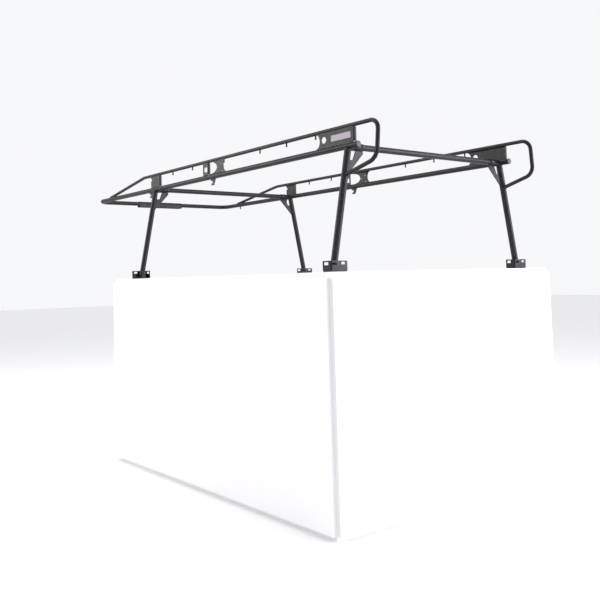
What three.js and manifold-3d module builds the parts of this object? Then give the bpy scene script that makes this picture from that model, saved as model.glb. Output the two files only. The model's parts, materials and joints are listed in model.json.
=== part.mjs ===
// Steel ladder rack for a pickup truck bed.
// Millimetres. +X is the truck's right, +Y is forward, +Z is up.
// Z = 0 is the surface of the bed rails that the four feet stand on.
import * as THREE from 'three';
import * as BufferGeometryUtils from 'three/addons/utils/BufferGeometryUtils.js';
import Module from 'manifold-3d';

const wasm = await Module();
wasm.setup();

// ---------------------------------------------------------------- driving dimensions

const GAP = 0.3; // clearance between touching pieces
const OVERCUT = 5; // how far a cutter runs past what it cuts

const RAIL_X = 720; // half the distance between the side rails
const LOWER_Z = 737; // lower rail centreline
const UPPER_Z = 857; // upper rail centreline
const LOWER_R = 19;
const UPPER_R = 12.7;
const LOWER_WALL = 2.5;
const UPPER_WALL = 2;
const BOW_Y = 1801; // front bow centreline
const BOW_BEND_R = 90;
const REAR_END_Y = -1642; // open end of the lower rail
const LOWER_SEAM_Y = -73; // where the front and rear halves of a rail meet
const UPPER_SEAM_Y = -87;

const LEG_Y = { front: 724, rear: -1559 };
const LEG_R = 20.65;
const LEG_WALL = 2.5;
const LEG_SPLAY = 0.2068; // outward run of a leg per unit of drop
const LEG_TOP_Z = 729; // tips of the coped top, against the lower rail
const LEG_END_Z = 15;

const SLOPE_START_Y = 920; // the upper rail bends down here
const SLOPE_END_Y = 1575;
const SLOPE = 0.163; // fall of the front of the upper rail
const SLOPE_BEND_R = 240;
const HOOP_Y = -1807; // rear face of the hoop, centreline
const HOOP_TOP_R = 62;
const HOOP_LOW_R = 75;
const HOOP_FOOT_Z = 565; // where the hoop meets the rear leg
const HOOP_RISE = 0.277; // climb of the hoop's lower arm, going rearward

const TUBE_SIDES = 16;
const SLIM_SIDES = 12; // the thinner upper tubes
const BOLT_SIDES = 12;
const STUD_SIDES = 8;
const HEX = 6;
const ARC_STEP = Math.PI / 12;
const CURVE_STEPS = 6; // chords in each half of a slot's end
const CORNER_STEPS = 2; // chords in a rounded plate corner

const PLATE_T = 3;
const PLATE_OUT = 11; // outer face of the side plates, outboard of the rail centreline
const FLANGE = 19; // width of a plate's folded rear edge

const CROSS_Z = 735;
const CROSS_HALF = 650; // half length of a cross member
const CROSS_WALL = 2.5;
const COLLAR_R = 22;
const COLLAR_IN = 606; // inner end of a collar
const COLLAR_OUT = 664;
const WELD_RING = 4; // the closed outer end of a collar
const SPIGOT_IN = 560; // inner end of the spigot inside a cross member
const SPIGOT_WALL = 3;
const GUSSET_T = 6;
const SET_BOLT = { x: 618, radius: 4, across: 7.5, head: 6 }; // across is out to a corner

const SLEEVE_LEFT = -305; // ends of the saddle over the bow joint
const SLEEVE_RIGHT = 175;
const SLEEVE_DROP = 704; // lower edge of the saddle
const SLEEVE_T = 3;
const SLEEVE_BOLT = { z: 711, radius: 3, across: 5.8, head: 5, places: [-230, 111] };
const BOW_END_GAP = 30; // between the two halves of the bow, inside the saddle

// A foot is measured from its leg's centre: near is towards its side wing, back towards its long wing.
const FOOT = { near: 48, far: 77, back: 28.5, front: 43.5, top: 64, thick: 4 };
const PAD_T = 5;
const PIVOT = { z: 46, radius: 5, across: 9, flange: 13.5, flangeThick: 2, head: 6, nut: 8, tail: 2 };
const EAR = { half: 17, rise: 16, clearance: 1 }; // the short front wall that the pivot bolt also passes
const ANCHOR = { x: 53, y: 7.5, radius: 5.5 }; // hole for the fastener into the bed rail
const TURNED_FOOT = 'left_front'; // stands half a turn round from the other three

const PEG_Y = { front: [444, 150], rear: [-277, -708, -992, -1276] };
const PEG_R = 5;
const PEG_LENGTH = 23;
const NOSE_PEG_Y = 1522;

const HOOK_Y = { front: 800, mid: -131 };

const SIDES = [['left', -1], ['right', 1]];
const ENDS = ['front', 'rear'];

// ---------------------------------------------------------------- finishes

const FINISH = {
  coat: { color: 0x26262a, roughness: 0.42, metalness: 0.35 },
  bolt: { color: 0x3b3c40, roughness: 0.35, metalness: 0.8 },
  cap: { color: 0x3a3c40, roughness: 0.6, metalness: 0 },
  pad: { color: 0x141416, roughness: 0.9, metalness: 0 },
  badge: { color: 0x9a98a2, roughness: 0.4, metalness: 0.5 },
};

const rack = new THREE.Group();

// ---------------------------------------------------------------- solids

// Turns a closed geometry into a solid with its faces pointing out.
function solidOf(geometry) {
  geometry.deleteAttribute('normal');
  geometry.deleteAttribute('uv');
  const merged = BufferGeometryUtils.mergeVertices(geometry, 1e-4);
  const triVerts = Uint32Array.from(merged.index.array);
  const vertProperties = Float32Array.from(merged.attributes.position.array);
  if (signedVolume(vertProperties, triVerts) < 0) {
    triVerts.reverse();
  }
  return new wasm.Manifold(new wasm.Mesh({ numProp: 3, vertProperties, triVerts }));
}

function signedVolume(points, triangles) {
  const a = new THREE.Vector3();
  const b = new THREE.Vector3();
  const c = new THREE.Vector3();
  let six = 0;
  for (let i = 0; i < triangles.length; i += 3) {
    a.fromArray(points, triangles[i] * 3);
    b.fromArray(points, triangles[i + 1] * 3);
    c.fromArray(points, triangles[i + 2] * 3);
    six += a.dot(b.cross(c));
  }
  return six;
}

function add(name, solid, finish) {
  const mesh = solid.getMesh();
  const geometry = new THREE.BufferGeometry();
  const points = Float32Array.from(mesh.vertProperties);
  geometry.setAttribute('position', new THREE.BufferAttribute(points, 3));
  geometry.setIndex(new THREE.BufferAttribute(Uint32Array.from(mesh.triVerts), 1));
  const piece = new THREE.Mesh(geometry, new THREE.MeshStandardMaterial(FINISH[finish]));
  piece.name = name;
  rack.add(piece);
}

// A path through given stations, for sweeping a section without extra steps on the straights.
class StationPath extends THREE.Curve {
  constructor(stations) {
    super();
    this.stations = stations;
  }

  getPointAt(u) {
    const last = this.stations.length - 1;
    return this.stations[Math.round(u * last)].clone();
  }

  getPoint(t) {
    return this.getPointAt(t);
  }

  getSpacedPoints() {
    return this.stations.map((point) => point.clone());
  }

  getTangentAt(u) {
    const last = this.stations.length - 1;
    const i = Math.round(u * last);
    const before = this.stations[Math.max(i - 1, 0)];
    const here = this.stations[i];
    const after = this.stations[Math.min(i + 1, last)];
    const arriving = here.clone().sub(before).normalize();
    const leaving = after.clone().sub(here).normalize();
    return arriving.add(leaving).normalize();
  }
}

// Stations along straight runs between corners, with each inner corner rounded to its radius.
function roundedRoute(corners) {
  const stations = [corners[0].at.clone()];
  for (let i = 1; i < corners.length - 1; i += 1) {
    const at = corners[i].at;
    const back = corners[i - 1].at.clone().sub(at).normalize();
    const ahead = corners[i + 1].at.clone().sub(at).normalize();
    const turn = Math.PI - back.angleTo(ahead);
    const setback = corners[i].radius * Math.tan(turn / 2);
    const middle = back.clone().add(ahead).normalize();
    const centre = at.clone().addScaledVector(middle, corners[i].radius / Math.cos(turn / 2));
    const start = at.clone().addScaledVector(back, setback).sub(centre);
    const axis = new THREE.Vector3().crossVectors(back, ahead).normalize();
    const steps = Math.max(2, Math.ceil(turn / ARC_STEP));
    for (let k = 0; k <= steps; k += 1) {
      stations.push(start.clone().applyAxisAngle(axis, (-turn * k) / steps).add(centre));
    }
  }
  stations.push(corners[corners.length - 1].at.clone());
  return stations;
}

// Moves the two ends of a route along its own direction; a negative amount shortens it.
function stretched(stations, atStart, atEnd) {
  const moved = stations.map((point) => point.clone());
  const last = moved.length - 1;
  moved[0].addScaledVector(stations[0].clone().sub(stations[1]).normalize(), atStart);
  moved[last].addScaledVector(stations[last].clone().sub(stations[last - 1]).normalize(), atEnd);
  return moved;
}

function bar(stations, radius, sides = TUBE_SIDES) {
  const section = new THREE.Shape();
  for (let i = 0; i < sides; i += 1) {
    const angle = (2 * Math.PI * i) / sides;
    const x = radius * Math.cos(angle);
    const y = radius * Math.sin(angle);
    if (i === 0) {
      section.moveTo(x, y);
    } else {
      section.lineTo(x, y);
    }
  }
  const extrudePath = new StationPath(stations);
  const steps = stations.length - 1;
  return solidOf(new THREE.ExtrudeGeometry(section, { steps, bevelEnabled: false, extrudePath }));
}

// A tube; plugs are the lengths that stay solid at its start and end.
function tube(stations, radius, wall, sides = TUBE_SIDES, plugs = [0, 0]) {
  const reach = plugs.map((length) => (length > 0 ? -length : OVERCUT));
  const bore = bar(stretched(stations, reach[0], reach[1]), radius - wall, sides);
  return bar(stations, radius, sides).subtract(bore);
}

function straight(from, to) {
  return [new THREE.Vector3(...from), new THREE.Vector3(...to)];
}

function box(low, high) {
  const size = low.map((value, i) => high[i] - value);
  const middle = low.map((value, i) => (high[i] + value) / 2);
  const geometry = new THREE.BoxGeometry(...size);
  geometry.translate(...middle);
  return solidOf(geometry);
}

// An outline in the Y-Z plane, given thickness from one X to another.
function sidePlate(outline, fromX, toX) {
  const low = Math.min(fromX, toX);
  const geometry = new THREE.ExtrudeGeometry(outline, extrusion(Math.abs(toX - fromX)));
  geometry.applyMatrix4(new THREE.Matrix4().set(0, 0, 1, low, 1, 0, 0, 0, 0, 1, 0, 0, 0, 0, 0, 1));
  return solidOf(geometry);
}

// An outline in the X-Z plane, given thickness from one Y to another.
function crossPlate(outline, fromY, toY) {
  const geometry = new THREE.ExtrudeGeometry(outline, extrusion(toY - fromY));
  geometry.applyMatrix4(new THREE.Matrix4().set(1, 0, 0, 0, 0, 0, 1, fromY, 0, 1, 0, 0, 0, 0, 0, 1));
  return solidOf(geometry);
}

// An outline in the X-Y plane, given thickness upward.
function flatPlate(outline, fromZ, toZ) {
  const geometry = new THREE.ExtrudeGeometry(outline, extrusion(toZ - fromZ));
  geometry.translate(0, 0, fromZ);
  return solidOf(geometry);
}

function extrusion(depth) {
  return { depth, bevelEnabled: false, curveSegments: CURVE_STEPS };
}

// A closed outline through points, with every corner rounded to the same size.
function roundedOutline(points, radius) {
  const corners = points.map(([x, y]) => new THREE.Vector2(x, y));
  const rounded = corners.flatMap((corner, i) => {
    const back = corners.at(i - 1).clone().sub(corner).setLength(radius);
    const ahead = corners[(i + 1) % corners.length].clone().sub(corner).setLength(radius);
    const curve = new THREE.QuadraticBezierCurve(back.add(corner), corner, ahead.add(corner));
    return curve.getPoints(CORNER_STEPS);
  });
  return new THREE.Shape(rounded);
}

function polygon(points) {
  return new THREE.Shape(points.map(([x, y]) => new THREE.Vector2(x, y)));
}

function rectangle(x0, y0, x1, y1) {
  return [[x0, y0], [x1, y0], [x1, y1], [x0, y1]];
}

// A slot with round ends, or a circle where both centres agree.
function slot(x, y, halfLength, radius) {
  const outline = new THREE.Shape();
  outline.absarc(x + halfLength, y, radius, -Math.PI / 2, Math.PI / 2, false);
  outline.absarc(x - halfLength, y, radius, Math.PI / 2, (3 * Math.PI) / 2, false);
  outline.closePath();
  return outline;
}

// ---------------------------------------------------------------- routes shared by several pieces

function legX(side, z) {
  return side * (RAIL_X + (LOWER_Z - z) * LEG_SPLAY);
}

// What a neighbour is cut back by, to clear the straight part of a lower rail.
function lowerRailBlank(side) {
  const x = side * RAIL_X;
  const rear = [x, REAR_END_Y - OVERCUT, LOWER_Z];
  return bar(straight(rear, [x, BOW_Y - BOW_BEND_R, LOWER_Z]), LOWER_R + GAP);
}

function legRoute(side, end, fromZ, toZ) {
  return straight([legX(side, fromZ), LEG_Y[end], fromZ], [legX(side, toZ), LEG_Y[end], toZ]);
}

function legBlank(side, end) {
  return bar(legRoute(side, end, 0, LOWER_Z), LEG_R + GAP);
}

function along(y, x, z, from, to) {
  return straight([x, y + from, z], [x, y + to, z]);
}

// ---------------------------------------------------------------- rails

function frontRail(side) {
  const middle = (SLEEVE_LEFT + SLEEVE_RIGHT) / 2;
  const route = roundedRoute([
    { at: new THREE.Vector3(side * RAIL_X, LOWER_SEAM_Y + GAP, LOWER_Z) },
    { at: new THREE.Vector3(side * RAIL_X, BOW_Y, LOWER_Z), radius: BOW_BEND_R },
    { at: new THREE.Vector3(middle + (side * BOW_END_GAP) / 2, BOW_Y, LOWER_Z) },
  ]);
  const peg = stud(side, NOSE_PEG_Y, LOWER_Z - LOWER_R);
  return tube(route, LOWER_R, LOWER_WALL).add(peg);
}

function rearRail(side) {
  const route = straight([side * RAIL_X, REAR_END_Y, LOWER_Z], [side * RAIL_X, LOWER_SEAM_Y, LOWER_Z]);
  return tube(route, LOWER_R, LOWER_WALL);
}

// A welded tie-down stud with a flat head, hanging under a rail.
function stud(side, y, railBottom) {
  const headHeight = 3;
  const headExtra = 2.5;
  const sunk = 1.5; // into the wall of the rail
  const end = railBottom - PEG_LENGTH;
  const x = side * RAIL_X;
  const shank = bar(straight([x, y, railBottom + sunk], [x, y, end]), PEG_R, STUD_SIDES);
  const head = bar(straight([x, y, end + headHeight], [x, y, end]), PEG_R + headExtra, STUD_SIDES);
  return shank.add(head);
}

function withStuds(solid, side, places) {
  let joined = solid;
  for (const y of places) {
    joined = joined.add(stud(side, y, UPPER_Z - UPPER_R));
  }
  return joined;
}

function upperFrontRail(side) {
  const solidNose = 90;
  const drop = (SLOPE_END_Y - SLOPE_START_Y) * SLOPE;
  const route = roundedRoute([
    { at: new THREE.Vector3(side * RAIL_X, UPPER_SEAM_Y + GAP, UPPER_Z) },
    { at: new THREE.Vector3(side * RAIL_X, SLOPE_START_Y, UPPER_Z), radius: SLOPE_BEND_R },
    { at: new THREE.Vector3(side * RAIL_X, SLOPE_END_Y, UPPER_Z - drop) },
  ]);
  const rail = tube(route, UPPER_R, UPPER_WALL, SLIM_SIDES, [0, solidNose]);
  const x = side * RAIL_X;
  const below = box([x - LOWER_R, SLOPE_START_Y, 0], [x + LOWER_R, BOW_Y, LOWER_Z]);
  return withStuds(rail.subtract(lowerRailBlank(side)).subtract(below), side, PEG_Y.front);
}

function upperRearRail(side) {
  const footY = LEG_Y.rear - LEG_R / 2;
  const cornerZ = HOOP_FOOT_Z + (footY - HOOP_Y) * HOOP_RISE;
  const route = roundedRoute([
    { at: new THREE.Vector3(side * RAIL_X, UPPER_SEAM_Y, UPPER_Z) },
    { at: new THREE.Vector3(side * RAIL_X, HOOP_Y, UPPER_Z), radius: HOOP_TOP_R },
    { at: new THREE.Vector3(legX(side, cornerZ), HOOP_Y, cornerZ), radius: HOOP_LOW_R },
    { at: new THREE.Vector3(legX(side, HOOP_FOOT_Z), footY, HOOP_FOOT_Z) },
  ]);
  const hoop = tube(route, UPPER_R, UPPER_WALL, SLIM_SIDES).subtract(legBlank(side, 'rear'));
  return withStuds(hoop, side, PEG_Y.rear);
}

// The sleeve inside a rail that joins its front and rear halves.
function spigot(side, seamY, z, radius, sides, halfLength) {
  const wall = 2;
  const x = side * RAIL_X;
  return tube(along(seamY, x, z, -halfLength, halfLength), radius, wall, sides);
}

function lowerSpigot(side) {
  const halfLength = 110;
  return spigot(side, LOWER_SEAM_Y, LOWER_Z, LOWER_R - LOWER_WALL - GAP, TUBE_SIDES, halfLength);
}

function upperSpigot(side) {
  const halfLength = 90;
  return spigot(side, UPPER_SEAM_Y, UPPER_Z, UPPER_R - UPPER_WALL - GAP, SLIM_SIDES, halfLength);
}

// A push-in end cap: a short plug and a slightly domed face.
function railCap(side) {
  const plugDepth = 22;
  const rim = 4;
  const dome = 7;
  const shoulder = 2;
  const plugR = LOWER_R - LOWER_WALL - GAP;
  const profile = [
    [0, -plugDepth], [plugR, -plugDepth], [plugR, GAP], [LOWER_R, GAP], [LOWER_R, rim],
    [LOWER_R - shoulder, dome - shoulder / 2], [LOWER_R / 2, dome], [0, dome],
  ].map(([radius, outward]) => new THREE.Vector2(radius, outward));
  const geometry = new THREE.LatheGeometry(profile, TUBE_SIDES);
  geometry.rotateZ(Math.PI);
  geometry.translate(side * RAIL_X, REAR_END_Y, LOWER_Z);
  return solidOf(geometry);
}

// ---------------------------------------------------------------- side plates

// Height of a rail's surface above or below its centre, at the inner face of the plates.
function edgeRise(radius) {
  const inner = PLATE_OUT - PLATE_T;
  return Math.sqrt((radius + GAP) ** 2 - inner ** 2);
}

const PLATE_LOW = LOWER_Z + edgeRise(LOWER_R);
const PLATE_HIGH = UPPER_Z - edgeRise(UPPER_R);

function webPlate(side, outline) {
  const outer = side * (RAIL_X + PLATE_OUT);
  return sidePlate(outline, outer - side * PLATE_T, outer);
}

// The rear edge of a plate, folded inboard.
function rearFlange(side, y) {
  const outer = side * (RAIL_X + PLATE_OUT);
  const inner = outer - side * FLANGE;
  const low = LOWER_Z + LOWER_R + GAP;
  const high = UPPER_Z - UPPER_R - GAP;
  return box([Math.min(outer, inner), y, low], [Math.max(outer, inner), y + PLATE_T, high]);
}

function blankPlate(side, rear, front) {
  return webPlate(side, polygon(rectangle(rear, PLATE_LOW, front, PLATE_HIGH)));
}

function roundHole(side, y, z, radius) {
  return webPlate(side, slot(y, z, 0, radius));
}

function frontPlate(side) {
  const rear = 640;
  const front = 784;
  const notch = { deep: 14, low: 811, high: 830, corner: 5 };
  const hole = { y: rear + 22, z: 829, radius: 5 };
  const bitten = rectangle(front - notch.deep, notch.low, front + 2 * notch.deep, notch.high);
  return blankPlate(side, rear, front)
    .subtract(webPlate(side, roundedOutline(bitten, notch.corner)))
    .subtract(roundHole(side, hole.y, hole.z, hole.radius))
    .add(rearFlange(side, rear));
}

function spliceFrontPlate(side) {
  const rear = -84;
  const front = -12;
  const window = { rear: -70, low: 778, front: -30, high: 814, corner: 4 };
  const opening = rectangle(window.rear, window.low, window.front, window.high);
  return blankPlate(side, rear, front)
    .subtract(webPlate(side, roundedOutline(opening, window.corner)))
    .add(rearFlange(side, rear));
}

// A half-ellipse bite, taken from an edge of a plate that runs across the full height.
function bite(side, edgeY, depth) {
  const margin = 3; // left above and below the bite
  const outline = new THREE.Shape();
  const middle = (PLATE_LOW + PLATE_HIGH) / 2;
  const half = (PLATE_HIGH - PLATE_LOW) / 2 - margin;
  outline.absellipse(edgeY, middle, depth, half, 0, 2 * Math.PI);
  return webPlate(side, outline);
}

function spliceRearPlate(side) {
  const rear = -309;
  const front = -112;
  const bites = { front: 85, rear: 27 };
  const holes = [[-209, 793], [-254, 817], [-259, 764]];
  const holeR = 4;
  let sheet = blankPlate(side, rear, front);
  sheet = sheet.subtract(bite(side, front, bites.front)).subtract(bite(side, rear, bites.rear));
  for (const [y, z] of holes) {
    sheet = sheet.subtract(roundHole(side, y, z, holeR));
  }
  return sheet;
}

function rearPlate(side) {
  const rear = -1622;
  const front = -1292;
  const biteDepth = 31;
  const hole = { y: -1361, z: 802.5, radius: 20 };
  return blankPlate(side, rear, front)
    .subtract(bite(side, front, biteDepth))
    .subtract(roundHole(side, hole.y, hole.z, hole.radius))
    .add(rearFlange(side, rear));
}

function badge(side) {
  const thickness = 1.5;
  const corner = 4;
  const edges = { rear: -1595, low: 782, front: -1426, high: 819 };
  const inner = side * (RAIL_X + PLATE_OUT + GAP);
  const outline = roundedOutline(rectangle(edges.rear, edges.low, edges.front, edges.high), corner);
  return sidePlate(outline, inner, inner + side * thickness);
}

// A flat tie-down hook welded under the lower rail: a tapering shank with its tip turned forward.
function tieHook(side, y) {
  const halfThickness = 3;
  const sunk = 6; // how far the blank reaches up the sides of the rail before it is cut to it
  const half = 29; // half length along the rail
  const corner = 3;
  const throat = { y: 6, high: 22, low: 36 };
  const tip = { y: 22, drop: 51 };
  const heel = { y: -8, shoulder: 12, toe: 16 };
  const top = LOWER_Z - LOWER_R + sunk;
  const outline = roundedOutline([
    [y - half, top], [y - half, top - heel.shoulder], [y + heel.y, top - tip.drop],
    [y + tip.y, top - tip.drop], [y + tip.y, top - throat.low], [y + throat.y, top - throat.low],
    [y + throat.y, top - throat.high], [y + half, top - heel.toe], [y + half, top],
  ], corner);
  const x = side * RAIL_X;
  return sidePlate(outline, x - halfThickness, x + halfThickness).subtract(lowerRailBlank(side));
}

// ---------------------------------------------------------------- legs and cross members

function leg(side, end) {
  const shaft = tube(legRoute(side, end, 0, LEG_TOP_Z), LEG_R, LEG_WALL);
  const reach = LEG_R + OVERCUT;
  const pin = along(LEG_Y[end], legX(side, PIVOT.z), PIVOT.z, -reach, reach);
  const outer = 2 * Math.abs(legX(side, 0));
  const floor = box([-outer, LEG_Y[end] - reach, -reach], [outer, LEG_Y[end] + reach, LEG_END_Z]);
  const pinHole = bar(pin, PIVOT.radius + GAP, BOLT_SIDES);
  return shaft.subtract(lowerRailBlank(side)).subtract(pinHole).subtract(floor);
}

// The socket that holds one end of a cross member, with its gusset down to the leg.
function crossBracket(side, end) {
  const y = LEG_Y[end];
  const lateral = (from, to) => straight([side * from, y, CROSS_Z], [side * to, y, CROSS_Z]);
  const ringFrom = COLLAR_OUT - WELD_RING;
  const ringWall = COLLAR_R - LOWER_R + 1; // it reaches 1 mm into the stub, so that the two are one piece
  const collar = tube(lateral(COLLAR_IN, COLLAR_OUT), COLLAR_R, COLLAR_R - LOWER_R - GAP);
  const ring = tube(lateral(ringFrom, COLLAR_OUT), COLLAR_R, ringWall);
  const stub = tube(lateral(ringFrom, RAIL_X), LOWER_R, CROSS_WALL + GAP + SPIGOT_WALL);
  const inner = tube(lateral(SPIGOT_IN, RAIL_X), LOWER_R - CROSS_WALL - GAP, SPIGOT_WALL);
  const bracket = collar.add(ring).add(stub).add(inner).add(gusset(side, end));
  const trimmed = bracket.subtract(lowerRailBlank(side)).subtract(legBlank(side, end));
  return trimmed.subtract(setBoltHole(side, end));
}

// A triangle from the collar down to the leg, open between the collar, the leg and its own edge.
function gusset(side, end) {
  const y = LEG_Y[end];
  const corner = 4;
  const mirrored = (points) => points.map(([x, z]) => [side * x, z]);
  const outline = mirrored([[604, 697], [604, 716], [COLLAR_OUT, 716], [712, 712], [745, 556]]);
  const opening = mirrored([[664, 710], [712, 710], [724, 656], [688, 656]]);
  const sheet = crossPlate(polygon(outline), y - GUSSET_T / 2, y + GUSSET_T / 2);
  return sheet.subtract(crossPlate(roundedOutline(opening, corner), y - GUSSET_T, y + GUSSET_T));
}

function setBoltHole(side, end) {
  const hole = along(LEG_Y[end], side * SET_BOLT.x, CROSS_Z, -COLLAR_R - OVERCUT, -LOWER_R);
  return bar(hole, SET_BOLT.radius + GAP, BOLT_SIDES);
}

// Hexagon bolt along Y, screwed forward into the side of a collar.
function setBolt(side, end) {
  const route = (from, to) => along(LEG_Y[end], side * SET_BOLT.x, CROSS_Z, from, to);
  const tip = -LOWER_R - GAP;
  const seat = -COLLAR_R - GAP;
  const head = bar(route(seat - SET_BOLT.head, seat), SET_BOLT.across, HEX);
  return head.add(bar(route(seat - SET_BOLT.head / 2, tip), SET_BOLT.radius, BOLT_SIDES));
}

function crossMember(end) {
  const y = LEG_Y[end];
  const route = straight([-CROSS_HALF, y, CROSS_Z], [CROSS_HALF, y, CROSS_Z]);
  return tube(route, LOWER_R, CROSS_WALL);
}

// ---------------------------------------------------------------- front bow joint

// A saddle folded over both halves of the bow, with its skirts held by bolts below the tube.
function bowSleeve() {
  const inner = LOWER_R + GAP;
  const outer = inner + SLEEVE_T;
  const outline = new THREE.Shape();
  outline.moveTo(BOW_Y + outer, SLEEVE_DROP);
  outline.lineTo(BOW_Y + outer, LOWER_Z);
  outline.absarc(BOW_Y, LOWER_Z, outer, 0, Math.PI, false);
  outline.lineTo(BOW_Y - outer, SLEEVE_DROP);
  outline.lineTo(BOW_Y - inner, SLEEVE_DROP);
  outline.lineTo(BOW_Y - inner, LOWER_Z);
  outline.absarc(BOW_Y, LOWER_Z, inner, Math.PI, 0, true);
  outline.lineTo(BOW_Y + inner, SLEEVE_DROP);
  outline.closePath();
  let saddle = sidePlate(outline, SLEEVE_LEFT, SLEEVE_RIGHT);
  for (const x of SLEEVE_BOLT.places) {
    const hole = along(BOW_Y, x, SLEEVE_BOLT.z, -2 * outer, 2 * outer);
    saddle = saddle.subtract(bar(hole, SLEEVE_BOLT.radius + GAP, BOLT_SIDES));
  }
  return saddle;
}

// Hexagon bolt along Y through both skirts, with its nut at the front.
function sleeveBolt(x) {
  const route = (from, to) => along(BOW_Y, x, SLEEVE_BOLT.z, from, to);
  const seat = LOWER_R + SLEEVE_T + 2 * GAP;
  const end = seat + SLEEVE_BOLT.head;
  const shank = seat + SLEEVE_BOLT.head / 2;
  const head = bar(route(-end, -seat), SLEEVE_BOLT.across, HEX);
  const nut = bar(route(seat, end), SLEEVE_BOLT.across, HEX);
  return head.add(nut).add(bar(route(-shank, shank), SLEEVE_BOLT.radius, BOLT_SIDES));
}

// ---------------------------------------------------------------- feet, each about its leg's centre

// A base with a long wing behind the leg, a side wing and a short front ear.
function foot() {
  const corner = 4;
  const { near, far, back, front, top, thick } = FOOT;
  const z0 = PAD_T + GAP;
  const earY = LEG_R + EAR.clearance;
  const base = box([-near, -back, z0], [far, front, z0 + thick]);
  const longWing = crossPlate(roundedOutline(rectangle(-near, z0, far, top), corner), -back, thick - back);
  const sideOutline = roundedOutline(rectangle(-back, z0, front, top), corner);
  const sideWing = sidePlate(sideOutline, -near, thick - near);
  const earOutline = rectangle(-EAR.half, z0, EAR.half, PIVOT.z + EAR.rise);
  const ear = crossPlate(roundedOutline(earOutline, corner), earY, earY + thick);
  const earHole = bar(along(0, 0, PIVOT.z, earY - OVERCUT, front), PIVOT.radius + GAP, BOLT_SIDES);
  const body = base.add(longWing).add(sideWing).add(ear);
  return body.subtract(wingHoles(corner)).subtract(earHole).subtract(anchorHole());
}

// The window and the bolt slot in the long wing, and the window in the side wing.
function wingHoles(corner) {
  const longWindow = rectangle(31, 42, 61, 57);
  const sideWindow = rectangle(-4, 39, 34, 56);
  const boltSlot = { x: -14, half: 21.5, radius: 5.5 };
  const through = (edge) => [-edge - OVERCUT, FOOT.thick + OVERCUT - edge];
  const window = crossPlate(roundedOutline(longWindow, corner), ...through(FOOT.back));
  const slotted = slot(boltSlot.x, PIVOT.z, boltSlot.half, boltSlot.radius);
  const side = sidePlate(roundedOutline(sideWindow, corner), ...through(FOOT.near));
  return window.add(crossPlate(slotted, ...through(FOOT.back))).add(side);
}

// The hole through the base and pad for the bed-rail fastener.
function anchorHole() {
  return flatPlate(slot(ANCHOR.x, ANCHOR.y, 0, ANCHOR.radius), -OVERCUT, PAD_T + FOOT.thick + OVERCUT);
}

function footPad() {
  const corner = 5;
  const outline = roundedOutline(rectangle(-FOOT.near, -FOOT.back, FOOT.far, FOOT.front), corner);
  return flatPlate(outline, 0, PAD_T).subtract(anchorHole());
}

// Flanged hexagon bolt along Y through the long wing, the leg and the ear, with its nut at the ear.
function pivotBolt() {
  const route = (from, to) => along(0, 0, PIVOT.z, from, to);
  const seat = -FOOT.back - GAP;
  const neck = seat - PIVOT.flangeThick;
  const nutSeat = LEG_R + EAR.clearance + FOOT.thick + GAP;
  const flange = bar(route(neck, seat), PIVOT.flange, BOLT_SIDES);
  const head = bar(route(neck - PIVOT.head, neck), PIVOT.across, HEX);
  const nut = bar(route(nutSeat, nutSeat + PIVOT.nut), PIVOT.across, HEX);
  const shank = bar(route(neck, nutSeat + PIVOT.nut + PIVOT.tail), PIVOT.radius, BOLT_SIDES);
  return flange.add(head).add(nut).add(shank);
}

function addFoot(corner, side, end) {
  const turn = corner === TURNED_FOOT ? 180 : 0;
  const stand = (solid) => solid.rotate([0, 0, turn]).translate([legX(side, PIVOT.z), LEG_Y[end], 0]);
  add(`${corner}_foot`, stand(foot()), 'coat');
  add(`${corner}_foot_pad`, stand(footPad()), 'pad');
  add(`${corner}_pivot_bolt`, stand(pivotBolt()), 'bolt');
}

// ---------------------------------------------------------------- assembly

for (const [name, side] of SIDES) {
  add(`${name}_front_rail`, frontRail(side), 'coat');
  add(`${name}_rear_rail`, rearRail(side), 'coat');
  add(`${name}_upper_front_rail`, upperFrontRail(side), 'coat');
  add(`${name}_upper_rear_rail`, upperRearRail(side), 'coat');
  add(`${name}_lower_spigot`, lowerSpigot(side), 'coat');
  add(`${name}_upper_spigot`, upperSpigot(side), 'coat');
  add(`${name}_rail_cap`, railCap(side), 'cap');
  add(`${name}_front_plate`, frontPlate(side), 'coat');
  add(`${name}_splice_front_plate`, spliceFrontPlate(side), 'coat');
  add(`${name}_splice_rear_plate`, spliceRearPlate(side), 'coat');
  add(`${name}_rear_plate`, rearPlate(side), 'coat');
  add(`${name}_badge`, badge(side), 'badge');
  add(`${name}_front_tie_hook`, tieHook(side, HOOK_Y.front), 'coat');
  add(`${name}_mid_tie_hook`, tieHook(side, HOOK_Y.mid), 'coat');
  for (const end of ENDS) {
    add(`${name}_${end}_leg`, leg(side, end), 'coat');
    add(`${name}_${end}_cross_bracket`, crossBracket(side, end), 'coat');
    add(`${name}_${end}_set_bolt`, setBolt(side, end), 'bolt');
    addFoot(`${name}_${end}`, side, end);
  }
}
for (const end of ENDS) {
  add(`${end}_cross_member`, crossMember(end), 'coat');
}
add('bow_sleeve', bowSleeve(), 'coat');
SLEEVE_BOLT.places.forEach((x, i) => add(`bow_sleeve_bolt_${SIDES[i][0]}`, sleeveBolt(x), 'bolt'));

// The saddle and its nuts stand out in front, so the rack moves until its footprint's middle is the origin.
const middle = new THREE.Box3().setFromObject(rack).getCenter(new THREE.Vector3());
rack.position.set(-middle.x, -middle.y, 0);

export default rack;
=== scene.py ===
"""Steel ladder rack for a pickup bed: fine surfaces, materials and studio. Metres."""
import functools
import json
import math

import bmesh
import bpy
import numpy as np
from mathutils import Matrix, Vector


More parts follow.
